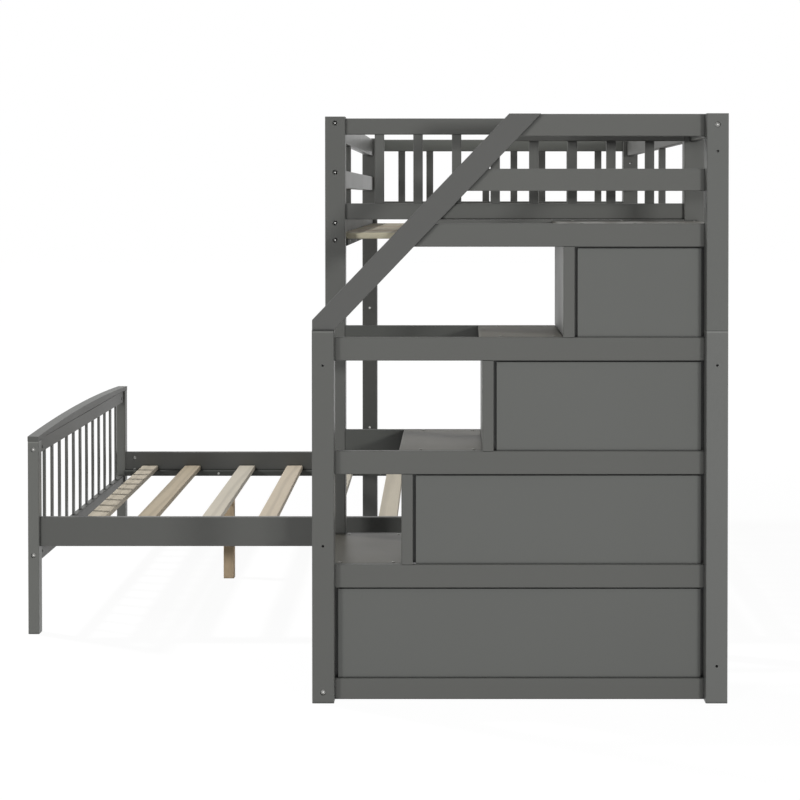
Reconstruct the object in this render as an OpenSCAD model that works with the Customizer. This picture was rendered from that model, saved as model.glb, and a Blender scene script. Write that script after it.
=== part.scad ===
// Stair bunk: a twin loft bed with a closed stair at its near end and a full size
// platform bed standing crosswise beneath it, foot end out to the left.
// Millimetres, +Z up. The origin is on the floor, in the middle of the bounding box.

/* [Loft bed] */
// Width of the loft over its posts
loft_w = 1080; // [1020:5:1200]
// Length of the loft over its posts
loft_l = 2027; // [1950:1:2200]
// Height of the loft posts
loft_h = 1545; // [1500:5:1640]
// Side of the square posts
post = 57; // [50:1:70]
// Height of the two rails of a slatted end
end_rail_h = 46; // [36:1:60]
// Thickness of the rails of a slatted end
end_rail_t = 22; // [18:1:24]
// How far the posts stand above the rails between them
post_crown = 4.5; // [1:0.5:10]
// Slats in each end of the loft
end_slats = 8; // [5:1:9]
// Width of a slat in the loft ends
end_slat_w = 27; // [20:1:36]
// Thickness of a slat in the loft ends
end_slat_t = 14; // [10:1:16]
// Thickness of the long rails and guards
side_t = 25; // [20:1:32]
// Height of the long rails that carry the upper bed
side_rail_h = 88; // [80:1:110]
// How far the long rails reach below the top step
side_rail_drop = 76; // [70:1:90]
// Height of the upper guard along the long sides
side_top_h = 64; // [50:1:76]
// Height of the middle guard along the long sides
side_mid_h = 54; // [40:1:66]
// Thickness of the pickets between the long guards
picket_t = 22; // [14:1:24]
// Distance of the left guard's picket from the loft's near face
left_picket_y = 557; // [300:1:900]
// Distance of the right guard's picket from the loft's near face
right_picket_y = 830; // [300:1:1200]

/* [Stair] */
// Depth of the stair in front of the loft
stair_d = 474; // [420:1:560]
// Height of the first step
first_rise = 355; // [330:5:375]
// Distance from one riser to the next
going = 211.5; // [195:0.5:225]
// Height of the rails under the steps
rail_h = 61; // [52:1:66]
// Height of the guards on the stair
guard_h = 58; // [48:1:66]
// Height of the base rails
base_h = 55; // [48:1:66]
// Thickness of the stair's rails
rail_t = 22; // [18:1:26]
// Thickness of the boards between the loft's near posts
inner_t = 18; // [14:1:20]
// Clearance between the base rail and the floor
base_gap = 1; // [0:1:12]
// Width of the stiles in front of the risers
stile_w = 30; // [24:1:40]
// Thickness of the steps
tread_t = 20; // [16:1:26]
// How far a step reaches out past its riser
nosing = 7; // [0:1:15]
// Thickness of the risers
riser_t = 18; // [12:1:22]
// Thickness of the panels between the rails
panel_t = 12; // [8:1:14]
// Side of the cleats under the steps
cleat = 20; // [15:1:28]
// Width of the handrail board
handrail_w = 60; // [50:1:75]
// Thickness of the handrail board
handrail_t = 22; // [18:1:30]
// Slope of the handrail in degrees
handrail_angle = 46.3; // [43:0.1:50]
// How far the stair's guard lies below the loft posts' tops
guard_drop = 12; // [5:1:20]
// Height of the post joint above the third step
seam_rise = 20; // [10:1:40]

/* [Lower bed] */
// How far the foot end reaches out to the left of the loft
foot_reach = 916; // [800:1:980]
// Width of the lower bed over its posts
bed_w = 1462; // [1430:1:1560]
// Distance from the loft's near face to the lower bed
bed_setback = 279; // [200:1:330]
// Thickness of its posts along the bed
bed_post_x = 33; // [28:1:42]
// Width of its posts across the bed
bed_post_y = 42; // [38:1:57]
// Height of its posts under the caps
bed_post_h = 582; // [540:1:640]
// Thickness of the caps
cap_t = 14; // [12:1:24]
// Rise of the arched top in the middle
arch_rise = 15; // [6:1:30]
// Height of the board under the arch
arch_board_h = 41; // [30:1:50]
// Width of the slit over the middle of that board
arch_slit = 1.5; // [0.5:0.5:4]
// Thickness of the boards between two posts
bed_board_t = 20; // [14:1:24]
// Height of the lower rail of an end
bed_end_rail_h = 48; // [40:1:60]
// Height of that rail's lower edge above the floor
bed_end_rail_z = 213; // [200:1:230]
// Slats in each end of the lower bed
bed_end_slats = 12; // [9:1:12]
// Distance between them
bed_end_pitch = 106; // [96:1:112]
// Width of a slat in the ends
bed_end_slat_w = 21; // [16:1:34]
// Thickness of a slat in the ends
bed_end_slat_t = 7; // [6:1:14]
// Height of the side rails
bed_rail_h = 88; // [80:1:110]
// Thickness of the side rails
bed_rail_t = 22; // [18:1:24]
// Height of their lower edge above the floor
bed_rail_z = 262; // [250:1:280]
// Side of the square centre legs
leg = 36; // [28:1:44]
// How far the centre legs stand behind the middle of the bed
leg_shift = 90; // [0:5:120]

/* [Slats and ledgers] */
// Thickness of the bed slats
slat_t = 17; // [14:1:22]
// Width of the bed slats
slat_w = 60; // [50:1:75]
// Bed slats in the loft
upper_slats = 13; // [10:1:14]
// Bed slats in the lower bed
lower_slats = 10; // [8:1:10]
// Distance between the lower bed's slats
lower_pitch = 186; // [170:1:190]
// Distance from the foot end to the first lower slat
first_slat = 105; // [90:1:140]
// Height of the ledgers under the slats
ledger_h = 20; // [16:1:26]
// Thickness of the ledgers under the slats
ledger_t = 20; // [16:1:28]
// Height of the upper slats' tops above the lower edge of their rails
upper_slat_lift = 41; // [38:1:50]
// Height of the lower slats' tops above the lower edge of their rails
lower_slat_lift = 37; // [37:1:52]

/* [Fastenings] */
// Diameter of a bolt's head
bolt_head = 12; // [9:0.5:14]
// Diameter of a bolt's shank
bolt_d = 6; // [5:0.5:8]
// Depth of the recess that a bolt's head sits in
recess = 8; // [6:0.5:10]
// Reach of a bolt into a rail's end
bolt_reach = 45; // [38:1:60]
// Diameter of a barrel nut
nut_d = 10; // [9:0.5:12]
// Length of a barrel nut
nut_l = 12; // [10:1:14]
// Diameter of the open holes through the posts
open_hole = 7; // [5:0.5:10]
// Diameter of the dowels in the post joints
dowel_d = 12; // [8:1:16]
// Length of the dowels in the post joints
dowel_l = 60; // [40:2:80]

/* [Edges] */
// Radius of the eased long edges
edge_r = 3; // [1:0.5:4]

/* [Hidden] */
steps = 4;
edge_steps = 3;
arch_steps = 24;
$fn = 32;

// Clearances
bolt_gap = 0.3;
head_sink = 3.5;
head_room = 2.5;
socket_share = 0.7;
slat_gap = 3;
riser_gap = 4;
frame_gap = 4.5;
nut_gap = 0.5;
panel_shadow = 4.5;
panel_groove = 8;
panel_lap = 10;
panel_lip_t = 3;
lap_back = 12;
slat_end_gap = 20;

paint = [0.385, 0.392, 0.376];
pine = [0.76, 0.70, 0.60];
zinc = [0.72, 0.72, 0.70];
leg_slats = [2, 7];

// Heights of the open holes in the left posts and in the right posts, and the
// distance of the highest hole from the top of a right post
left_holes = [410, 880];
right_holes = [97, 880];
high_hole_drop = 98;

// How far the loosely laid lower slats have crept, as shares of their even spacing, and
// how far they lie askew, in degrees
slat_creep = [0, -0.134, -0.027, -0.059, -0.005, 0, 0, 0, 0, 0];
slat_skew = 0.7;

// Heights of the bolts above the lower edge, or under the upper edge, of their boards
side_low = 22;
side_high = 17;
mid_high = 9;
top_high = 14;
end_drop = 10;
cross_lift = 15;
board_drop = 5;

// Planes of the loft and of the stair
total_w = foot_reach + loft_w;
total_l = stair_d + loft_l;
loft_x0 = total_w / 2 - loft_w;
loft_x1 = total_w / 2;
stair_y = -total_l / 2;
loft_y = stair_y + stair_d;
back_y = total_l / 2;
inner_x0 = loft_x0 + post;
inner_x1 = loft_x1 - post;
inner_w = inner_x1 - inner_x0;
far_y = back_y - post;
side_x0 = loft_x0 + (post - side_t) / 2;
side_x1 = loft_x1 - (post + side_t) / 2;
rail_y = stair_y + post - rail_t;
behind_y = stair_y + post;
tread_d = loft_y - behind_y;
near_frame_y = loft_y + inner_t;
far_frame_y = far_y + (post - end_rail_t) / 2;

// Heights of the loft and of the stair
rise = (loft_h - first_rise) / steps;
deck_z = first_rise + (steps - 1) * rise;
rail_top = loft_h - post_crown;
end_bottom_z = deck_z + frame_gap;
end_top_z = rail_top - end_rail_h;
side_rail_z = deck_z - side_rail_drop;
side_top_z = rail_top - side_top_h;
side_mid_z = (side_rail_z + side_rail_h + side_top_z - side_mid_h) / 2;
guard_top = loft_h - guard_drop;
top_guard_z = guard_top - guard_h;
mid_guard_z = (deck_z + top_guard_z - guard_h) / 2;
seam_z = first_rise + 2 * rise + seam_rise;
upper_slat_z = side_rail_z + upper_slat_lift - slat_t;

// Bolts through the loft posts
side_bolts = [side_rail_z + side_low, side_rail_z + side_rail_h - side_high];
guard_bolts = [side_mid_z + side_mid_h - mid_high, rail_top - top_high];
loft_bolts = concat(side_bolts, guard_bolts);
end_bolts = [end_bottom_z + end_rail_h / 2, end_top_z + end_rail_h / 2 - end_drop];

// Planes and heights of the lower bed
bed_x0 = -total_w / 2;
bed_x1 = total_w / 2;
bed_y0 = loft_y + bed_setback;
bed_y1 = bed_y0 + bed_w;
bed_mid_y = bed_y0 + bed_w / 2;
bed_in_y0 = bed_y0 + bed_post_y;
bed_in_w = bed_w - 2 * bed_post_y;
arch_board_z = bed_post_h - arch_board_h;
rail_inset = 17;
bed_rail_y0 = bed_y0 + rail_inset;
bed_rail_y1 = bed_y1 - rail_inset - bed_rail_t;
lower_slat_z = bed_rail_z + lower_slat_lift - slat_t;
bed_end_bolts = [bed_end_rail_z + bed_end_rail_h / 2, arch_board_z + arch_board_h / 2 - board_drop];
bed_side_bolts = [bed_rail_z + bed_rail_h / 4, bed_rail_z + bed_rail_h * 3 / 4];

function tread_top(n) = first_rise + (n - 1) * rise;
function riser_x(n) = loft_x0 + (post - riser_t) / 2 + (n - 1) * going;
function rail_z(n) = n == 0 ? base_gap : tread_top(n) - rail_h;

// Timber

// Outline of a section with eased corners
function eased_points(w, h, r) = [
  for (c = [[w - r, h - r, 0], [r, h - r, 90], [r, r, 180], [w - r, r, 270]])
    for (i = [0:edge_steps])
      let (a = c[2] + 90 * i / edge_steps)
        [c[0] + r * cos(a), c[1] + r * sin(a)]];

// Section of a bar, eased by no more than its thickness allows
module section(w, h) {
  polygon(eased_points(w, h, min(edge_r, w / 4, h / 4)));
}

// Bar from its low corner, running along X
module bar_x(at, size) {
  translate(at) rotate([90, 0, 90]) linear_extrude(size.x) section(size.y, size.z);
}

// Bar from its low corner, running along Y
module bar_y(at, size) {
  translate(at + [0, size.y, 0]) rotate([90, 0, 0]) linear_extrude(size.y) section(size.x, size.z);
}

// Bar from its low corner, standing along Z
module bar_z(at, size) {
  translate(at) linear_extrude(size.z) section(size.x, size.y);
}

// Fastenings

// Turns what points along +Z so that it points along X or Y, forwards or back
module point_along(dir) {
  angles = dir.y != 0 ? [-90 * dir.y, 0, 0] : [0, 90 * dir.x, 0];
  rotate(angles) children();
}

// Bolt from a post's outer face, its head sunk in the post and a hexagon socket in the head
module bolt(at, dir, grip) {
  length = grip + bolt_reach;
  translate(at) point_along(dir) difference() {
    union() {
      translate([0, 0, head_sink]) cylinder(d = bolt_head, h = recess - head_sink);
      translate([0, 0, recess - 1]) cylinder(d = bolt_d, h = length - recess + 1);
    }
    translate([0, 0, -1]) cylinder(d = bolt_d * socket_share, h = recess - 1, $fn = 6);
  }
}

// Room for that bolt, in the post and in the rail
module bolt_room(at, dir, grip) {
  length = grip + bolt_reach + 2;
  translate(at) point_along(dir) {
    translate([0, 0, -1]) cylinder(d = bolt_head + head_room, h = recess + 1);
    cylinder(d = bolt_d + 2 * bolt_gap, h = length);
  }
}

// Barrel nut near the bolt's end, lying across the rail along X or Y
module nut(at, dir, grip) {
  across = dir.y != 0 ? [0, 90, 0] : [90, 0, 0];
  centre = at + dir * (grip + bolt_reach - nut_d);
  difference() {
    translate(centre) rotate(across) cylinder(d = nut_d, h = nut_l, center = true);
    translate(at) point_along(dir) cylinder(d = bolt_d + 2 * bolt_gap, h = grip + bolt_reach + 2);
  }
}

// Blind room for that nut in a rail of thickness t, open on one side
module nut_room(at, dir, grip, open, t) {
  translate(at + dir * (grip + bolt_reach - nut_d)) point_along(open)
    translate([0, 0, -nut_l / 2 - nut_gap])
      cylinder(d = nut_d + 2 * bolt_gap, h = (nut_l + t) / 2 + nut_gap + 1);
}

// Middle of a board that starts at a and is t thick
function mid(a, t) = a + t / 2;

// Every bolted joint is [place on the outer face, direction, grip, open side of the nut's room]

// Long rails and guards of the loft, through the posts' near and far faces
function side_joints(x, open) = [
  for (z = loft_bolts) each [
    [[x, loft_y, z], [0, 1, 0], post, open],
    [[x, back_y, z], [0, -1, 0], post, open]]];

// Rails of a slatted end, through the posts' outer faces
function end_joints(y) = [
  for (z = end_bolts) each [
    [[loft_x0, y, z], [1, 0, 0], post, [0, 1, 0]],
    [[loft_x1, y, z], [-1, 0, 0], post, [0, 1, 0]]]];

// Stair rails that run from post to post, outside or between the loft posts
function through_joints(y, levels) = [
  for (n = levels) each [
    [[loft_x0, y, rail_z(n) + cross_lift], [1, 0, 0], post, [0, 1, 0]],
    [[loft_x1, y, rail_z(n) + cross_lift], [-1, 0, 0], post, [0, 1, 0]]]];

// Stair rails that start at a handrail and end at the right post
function right_joints(y, heights) = [
  for (z = heights) [[loft_x1, y, z + cross_lift], [-1, 0, 0], post, [0, 1, 0]]];

outer_y = rail_y + rail_t / 2;
inner_y = loft_y + inner_t / 2;
left_x = loft_x0 + post / 2;
right_x = loft_x1 - post / 2;
outer_heights = [deck_z - rail_h, mid_guard_z, top_guard_z];
inner_heights = [deck_z - rail_h / 2 - cross_lift, top_guard_z];

left_side_joints = side_joints(left_x, [1, 0, 0]);
right_side_joints = side_joints(right_x, [-1, 0, 0]);
near_end_joints = end_joints(near_frame_y + end_rail_t / 2);
far_end_joints = end_joints(far_y + post / 2);
outer_joints = through_joints(outer_y, [0:steps - 1]);
inner_joints = through_joints(inner_y, [1:steps - 1]);
outer_right_joints = right_joints(outer_y, outer_heights);
inner_right_joints = right_joints(inner_y, inner_heights);
top_guard_joint = [[right_x, stair_y, mid(top_guard_z, guard_h)], [0, 1, 0], post, [-1, 0, 0]];
base_joint = [[left_x, stair_y, mid(base_gap, base_h)], [0, 1, 0], post, [1, 0, 0]];

// Boards between two posts of the lower bed
function bed_end_joints(x, open) = [
  for (z = bed_end_bolts) each [
    [[x, bed_y0, z], [0, 1, 0], bed_post_y, open],
    [[x, bed_y1, z], [0, -1, 0], bed_post_y, open]]];

// Side rails of the lower bed
function bed_side_joints(y, open) = [
  for (z = bed_side_bolts) each [
    [[bed_x0, y, z], [1, 0, 0], bed_post_x, open],
    [[bed_x1, y, z], [-1, 0, 0], bed_post_x, open]]];

foot_joints = bed_end_joints(bed_x0 + bed_post_x / 2, [1, 0, 0]);
head_joints = bed_end_joints(bed_x1 - bed_post_x / 2, [-1, 0, 0]);
near_rail_joints = bed_side_joints(mid(bed_rail_y0, bed_rail_t), [0, 1, 0]);
far_rail_joints = bed_side_joints(mid(bed_rail_y1, bed_rail_t), [0, -1, 0]);

all_joints = concat(left_side_joints, right_side_joints, near_end_joints, far_end_joints,
  outer_joints, inner_joints, outer_right_joints, inner_right_joints,
  [top_guard_joint, base_joint],
  foot_joints, head_joints, near_rail_joints, far_rail_joints);

module rooms(joints) {
  for (j = joints) bolt_room(j[0], j[1], j[2]);
}

module nut_rooms(joints, t) {
  for (j = joints) nut_room(j[0], j[1], j[2], j[3], t);
}

// Keeps the joints between two heights
function between(joints, z0, z1) = [for (j = joints) if (j[0].z > z0 && j[0].z < z1) j];

// Open holes right through a post, along Y
module open_holes(x, y, heights) {
  for (z = heights) translate([x, y - 1, z]) rotate([-90, 0, 0]) cylinder(d = open_hole, h = post + 2);
}

// Loft posts

module loft_post(x, y, joints, holes) {
  color(paint) difference() {
    bar_z([x, y, 0], [post, post, loft_h]);
    rooms(joints);
    open_holes(x + post / 2, y, holes);
  }
}

// Joints whose bolts enter at one post
function at_post(joints, x0, y0) = [
  for (j = joints)
    if (j[0].x >= x0 && j[0].x <= x0 + post && j[0].y >= y0 && j[0].y <= y0 + post) j];

near_joints = concat(near_end_joints, inner_joints, inner_right_joints);
far_left_joints = at_post(concat(left_side_joints, far_end_joints), loft_x0, far_y);
far_right_joints = at_post(concat(right_side_joints, far_end_joints), inner_x1, far_y);

module loft_post_near_left() {
  loft_post(loft_x0, loft_y, at_post(concat(left_side_joints, near_joints), loft_x0, loft_y), []);
}
module loft_post_near_right() {
  loft_post(inner_x1, loft_y, at_post(concat(right_side_joints, near_joints), inner_x1, loft_y), []);
}
module loft_post_far_left() {
  loft_post(loft_x0, far_y, far_left_joints, left_holes);
}
module loft_post_far_right() {
  loft_post(inner_x1, far_y, far_right_joints, concat(right_holes, [loft_h - high_hole_drop]));
}

// Slatted ends of the loft

module end_rail(y, z, joints) {
  color(paint) difference() {
    bar_x([inner_x0, y, z], [inner_w, end_rail_t, end_rail_h]);
    rooms(between(joints, z, z + end_rail_h));
    nut_rooms(between(joints, z, z + end_rail_h), end_rail_t);
  }
}

module end_slat_row(y) {
  gap = (inner_w - end_slats * end_slat_w) / (end_slats + 1);
  z = end_bottom_z + end_rail_h;
  color(paint) for (i = [0:end_slats - 1])
    bar_z([inner_x0 + gap + i * (gap + end_slat_w), y + (end_rail_t - end_slat_t) / 2, z],
      [end_slat_w, end_slat_t, end_top_z - z]);
}

module near_end_top_rail() { end_rail(near_frame_y, end_top_z, near_end_joints); }
module near_end_bottom_rail() { end_rail(near_frame_y, end_bottom_z, near_end_joints); }
module near_end_slats() { end_slat_row(near_frame_y); }
module far_end_top_rail() { end_rail(far_frame_y, end_top_z, far_end_joints); }
module far_end_bottom_rail() { end_rail(far_frame_y, end_bottom_z, far_end_joints); }
module far_end_slats() { end_slat_row(far_frame_y); }

// Long sides of the loft

module long_rail(x, z, h, joints) {
  color(paint) difference() {
    bar_y([x, loft_y + post, z], [side_t, loft_l - 2 * post, h]);
    rooms(between(joints, z, z + h));
    nut_rooms(between(joints, z, z + h), side_t);
  }
}

module left_side_rail() { long_rail(side_x0, side_rail_z, side_rail_h, left_side_joints); }
module right_side_rail() { long_rail(side_x1, side_rail_z, side_rail_h, right_side_joints); }
module left_top_guard() { long_rail(side_x0, side_top_z, side_top_h, left_side_joints); }
module right_top_guard() { long_rail(side_x1, side_top_z, side_top_h, right_side_joints); }
module left_mid_guard() { long_rail(side_x0, side_mid_z, side_mid_h, left_side_joints); }
module right_mid_guard() { long_rail(side_x1, side_mid_z, side_mid_h, right_side_joints); }

// One picket on each side, in two lengths above and below the middle guard
module side_guard_pickets() {
  side_rail_top = side_rail_z + side_rail_h;
  mid_top = side_mid_z + side_mid_h;
  color(paint) for (p = [[side_x0, left_picket_y], [side_x1, right_picket_y]])
    for (z = [[side_rail_top, side_mid_z], [mid_top, side_top_z]])
      bar_z([p[0] + (side_t - picket_t) / 2, loft_y + p[1], z[0]],
        [picket_t, end_slat_w, z[1] - z[0]]);
}

// Upper bed

module upper_slat_ledgers() {
  color(paint) for (x = [side_x0 + side_t, side_x1 - ledger_t])
    bar_y([x, loft_y + post, upper_slat_z - ledger_h], [ledger_t, loft_l - 2 * post, ledger_h]);
}

module upper_bed_slats() {
  x0 = side_x0 + side_t + slat_gap;
  x1 = side_x1 - slat_gap;
  y0 = loft_y + post + slat_end_gap;
  pitch = (loft_l - 2 * post - 2 * slat_end_gap - slat_w) / (upper_slats - 1);
  color(pine) for (i = [0:upper_slats - 1])
    bar_x([x0, y0 + i * pitch, upper_slat_z], [x1 - x0, slat_w, slat_t]);
}

// Stair posts

module stair_post_front() {
  color(paint) difference() {
    bar_z([loft_x0, stair_y, 0], [post, post, seam_z]);
    rooms(concat(at_post(outer_joints, loft_x0, stair_y), [base_joint]));
    open_holes(left_x, stair_y, left_holes);
    dowel_room(left_x, rail_y - handrail_t / 2, seam_z - dowel_l / 2 - 1, dowel_l / 2 + 2);
  }
}

module stair_post_back() {
  color(paint) difference() {
    bar_z([inner_x1, stair_y, 0], [post, post, seam_z]);
    rooms(at_post(outer_joints, inner_x1, stair_y));
    open_holes(right_x, stair_y, right_holes);
    dowel_room(right_x, stair_y + post / 2, seam_z - dowel_l / 2 - 1, dowel_l / 2 + 2);
  }
}

module stair_post_back_upper() {
  color(paint) difference() {
    bar_z([inner_x1, stair_y, seam_z], [post, post, guard_top - seam_z]);
    rooms(concat(at_post(outer_right_joints, inner_x1, stair_y), [top_guard_joint]));
    open_holes(right_x, stair_y, [guard_top - high_hole_drop]);
    dowel_room(right_x, stair_y + post / 2, seam_z - 1, dowel_l / 2 + 2);
  }
}

// Blind hole for a dowel
module dowel_room(x, y, z, h) {
  translate([x, y, z]) cylinder(d = dowel_d + bolt_gap, h = h);
}

// The dowel in the right post's joint and the one under the handrail's foot
module post_dowels() {
  color(pine) for (p = [[right_x, stair_y + post / 2], [left_x, rail_y - handrail_t / 2]])
    translate([p.x, p.y, seam_z - dowel_l / 2]) cylinder(d = dowel_d, h = dowel_l);
}

// Stair rails

module stair_rail(y, t, z, h, joints) {
  color(paint) difference() {
    bar_x([inner_x0, y, z], [inner_w, t, h]);
    rooms(between(joints, z, z + h));
    nut_rooms(between(joints, z, z + h), t);
  }
}

module outer_base_rail() { stair_rail(rail_y, rail_t, base_gap, base_h, outer_joints); }
module outer_tread_rails() {
  for (n = [1:steps - 1]) stair_rail(rail_y, rail_t, rail_z(n), rail_h, outer_joints);
}
module inner_tread_rails() {
  for (n = [1:steps - 1]) stair_rail(loft_y, inner_t, rail_z(n), rail_h, inner_joints);
}

// Handrail board between two heights, its lower edge through the foot point
module handrail(y, t, z0, z1, x0) {
  length = (z1 - seam_z) / sin(handrail_angle) + 4 * handrail_w;
  color(paint) intersection() {
    translate([inner_x0, y, seam_z]) rotate([0, -handrail_angle, 0])
      bar_x([-2 * handrail_w, 0, 0], [length, t, handrail_w]);
    translate([x0, y - 1, z0]) cube([loft_w, t + 2, z1 - z0]);
  }
}

module outer_handrail() {
  difference() {
    handrail(rail_y - handrail_t, handrail_t, seam_z, guard_top, loft_x0);
    dowel_room(left_x, rail_y - handrail_t / 2, seam_z - 1, dowel_l / 2 + 2);
  }
}
module inner_handrail() { handrail(loft_y, inner_t, seam_z - handrail_w, guard_top, inner_x0); }

// Everything above the handrail's lower edge, moved off it by a distance square to it
module above_handrail(y, t, off) {
  translate([inner_x0, y - 1, seam_z]) rotate([0, -handrail_angle, 0])
    translate([-loft_w, 0, off]) cube([4 * loft_w, t + 2, 2 * loft_w]);
}

// Rail from a handrail to the right post, its left end cut along the handrail
module cut_rail(y, t, z, h, joints, off) {
  color(paint) difference() {
    bar_x([inner_x0, y, z], [inner_w, t, h]);
    above_handrail(y, t, off);
    rooms(between(joints, z, z + h));
    nut_rooms(between(joints, z, z + h), t);
  }
}

module outer_cut_rail(z, h) { cut_rail(rail_y, rail_t, z, h, outer_right_joints, handrail_w - lap_back); }
module outer_deck_rail() { outer_cut_rail(deck_z - rail_h, rail_h); }
module outer_mid_guard() { outer_cut_rail(mid_guard_z, guard_h); }
module outer_top_guard() { outer_cut_rail(top_guard_z, guard_h); }
module inner_deck_rail() {
  cut_rail(loft_y, inner_t, deck_z - rail_h, rail_h + frame_gap, inner_right_joints, 0);
}
module inner_top_guard() { cut_rail(loft_y, inner_t, top_guard_z, guard_h, inner_right_joints, 0); }

// Guard on the stair's right side and rail under the first riser
module side_top_guard() {
  color(paint) difference() {
    bar_y([side_x1, behind_y, top_guard_z], [side_t, loft_y - behind_y, guard_h]);
    rooms([top_guard_joint]);
    nut_rooms([top_guard_joint], side_t);
  }
}

module side_base_rail() {
  color(paint) difference() {
    bar_y([left_x - rail_t / 2, behind_y, base_gap], [rail_t, loft_y - behind_y, base_h]);
    rooms([base_joint]);
    nut_rooms([base_joint], rail_t);
  }
}

// Closed front of the stair

module outer_stiles() {
  color(paint) for (n = [2:steps])
    bar_z([riser_x(n), rail_y, tread_top(n - 1)], [stile_w, rail_t, rise - rail_h]);
}

// Panel whose raised field fills an opening from behind, with grooves beside and above it.
// Its flange laps the frame's back, and the rail below it by drop
module panel(x, z, w, h, drop) {
  color(paint) union() {
    translate([x - panel_lap, behind_y, z - drop])
      cube([w + 2 * panel_lap, panel_lip_t, drop + h + panel_lap]);
    translate([x + panel_groove, behind_y - panel_t, z])
      cube([w - 2 * panel_groove, panel_t + panel_lip_t, h - panel_shadow]);
  }
}

// Panels from stile to right post, their flanges against the backs of the rails
module outer_panels() {
  for (n = [1:steps]) {
    x0 = n == 1 ? inner_x0 : riser_x(n) + stile_w;
    z0 = n == 1 ? base_gap + base_h : tread_top(n - 1);
    panel(x0, z0, inner_x1 - x0, rail_z(n) - z0, n == 1 ? panel_lap : 0);
  }
}

// A step reaches under the next riser, and the top one to the right guard
module stair_tread(n) {
  x0 = riser_x(n) - nosing;
  x1 = n < steps ? riser_x(n + 1) + riser_t : side_x1 + side_t;
  color(paint) bar_y([x0, behind_y, tread_top(n) - tread_t], [x1 - x0, tread_d, tread_t]);
}

module stair_tread_1() { stair_tread(1); }
module stair_tread_2() { stair_tread(2); }
module stair_tread_3() { stair_tread(3); }
module stair_tread_4() { stair_tread(4); }

module stair_risers() {
  color(paint) for (n = [1:steps]) {
    z0 = n == 1 ? base_gap + base_h : tread_top(n - 1) + riser_gap;
    translate([riser_x(n), behind_y, z0]) cube([riser_t, loft_y - behind_y, tread_top(n) - tread_t - z0]);
  }
}

// Cleats under both ends of every step
module tread_cleats() {
  color(paint) for (n = [1:steps]) {
    x0 = riser_x(n) + riser_t;
    x1 = n < steps ? riser_x(n + 1) + riser_t : inner_x1;
    for (y = [behind_y, loft_y - cleat])
      bar_x([x0, y, tread_top(n) - tread_t - cleat], [x1 - x0, cleat, cleat]);
  }
}

// Lower bed ends

module bed_posts(x, end_joints_here, side) {
  color(paint) difference() {
    for (y = [bed_y0, bed_y1 - bed_post_y]) bar_z([x, y, 0], [bed_post_x, bed_post_y, bed_post_h]);
    rooms(end_joints_here);
    rooms([for (j = concat(near_rail_joints, far_rail_joints)) if (j[1].x == side) j]);
  }
}

module lower_foot_posts() { bed_posts(bed_x0, foot_joints, 1); }
module lower_head_posts() { bed_posts(bed_x1 - bed_post_x, head_joints, -1); }

// Height of the arch over its ends, at a distance y along a chord of length w
function arch(y, w) = arch_rise * (1 - pow(2 * y / w - 1, 2));

// Points along the arch or a flatter copy of it, lifted by z, forwards or back
function arch_line(y0, y1, flatten, z) = [
  for (i = [0:arch_steps])
    let (y = y0 + (y1 - y0) * i / arch_steps)
      [y, bed_post_h + z + flatten * arch(y, bed_w)]];

// Outline of the filler between the straight board and the cap
function filler_outline(y0, y1) =
  concat(arch_line(y0, y1, arch_slit / arch_rise, 0), arch_line(y1, y0, 1, 0));

// Outline of the cap over the filler and both posts
function cap_outline() = concat(arch_line(0, bed_w, 1, 0), arch_line(bed_w, 0, 1, cap_t));

// Extrudes an outline in Y and Z along X
module along_x(x, y, t) {
  translate([x, y, 0]) rotate([90, 0, 90]) linear_extrude(t) children();
}

module end_top_board(x, joints) {
  color(paint) difference() {
    translate([x + (bed_post_x - bed_board_t) / 2, bed_in_y0, arch_board_z])
      cube([bed_board_t, bed_in_w, arch_board_h]);
    rooms(between(joints, arch_board_z, bed_post_h));
    nut_rooms(between(joints, arch_board_z, bed_post_h), bed_board_t);
  }
}

module end_arches() {
  color(paint) for (x = [bed_x0, bed_x1 - bed_post_x])
    along_x(x + (bed_post_x - bed_board_t) / 2, bed_y0, bed_board_t)
      polygon(filler_outline(bed_post_y, bed_w - bed_post_y));
}

// The cap follows the arch, and is trimmed flat where it lies on the posts
module end_cap(x) {
  color(paint) difference() {
    along_x(x, bed_y0, bed_post_x) polygon(cap_outline());
    for (y = [bed_y0, bed_y1 - bed_post_y])
      translate([x - 1, y - 1, 0]) cube([bed_post_x + 2, bed_post_y + 1, bed_post_h]);
  }
}

module end_bottom_rail(x, joints) {
  z1 = bed_end_rail_z + bed_end_rail_h;
  color(paint) difference() {
    bar_y([x + (bed_post_x - bed_board_t) / 2, bed_in_y0, bed_end_rail_z],
      [bed_board_t, bed_in_w, bed_end_rail_h]);
    rooms(between(joints, bed_end_rail_z, z1));
    nut_rooms(between(joints, bed_end_rail_z, z1), bed_board_t);
  }
}

module bed_end_slat_row(x) {
  z0 = bed_end_rail_z + bed_end_rail_h;
  first = bed_mid_y - (bed_end_slats - 1) / 2 * bed_end_pitch;
  color(paint) for (i = [0:bed_end_slats - 1])
    bar_z([x + (bed_post_x - bed_end_slat_t) / 2, first + i * bed_end_pitch - bed_end_slat_w / 2, z0],
      [bed_end_slat_t, bed_end_slat_w, arch_board_z - z0]);
}

module foot_top_board() { end_top_board(bed_x0, foot_joints); }
module foot_cap() { end_cap(bed_x0); }
module foot_bottom_rail() { end_bottom_rail(bed_x0, foot_joints); }
module foot_slats() { bed_end_slat_row(bed_x0); }
module head_top_board() { end_top_board(bed_x1 - bed_post_x, head_joints); }
module head_cap() { end_cap(bed_x1 - bed_post_x); }
module head_bottom_rail() { end_bottom_rail(bed_x1 - bed_post_x, head_joints); }
module head_slats() { bed_end_slat_row(bed_x1 - bed_post_x); }

// Lower bed platform

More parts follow.
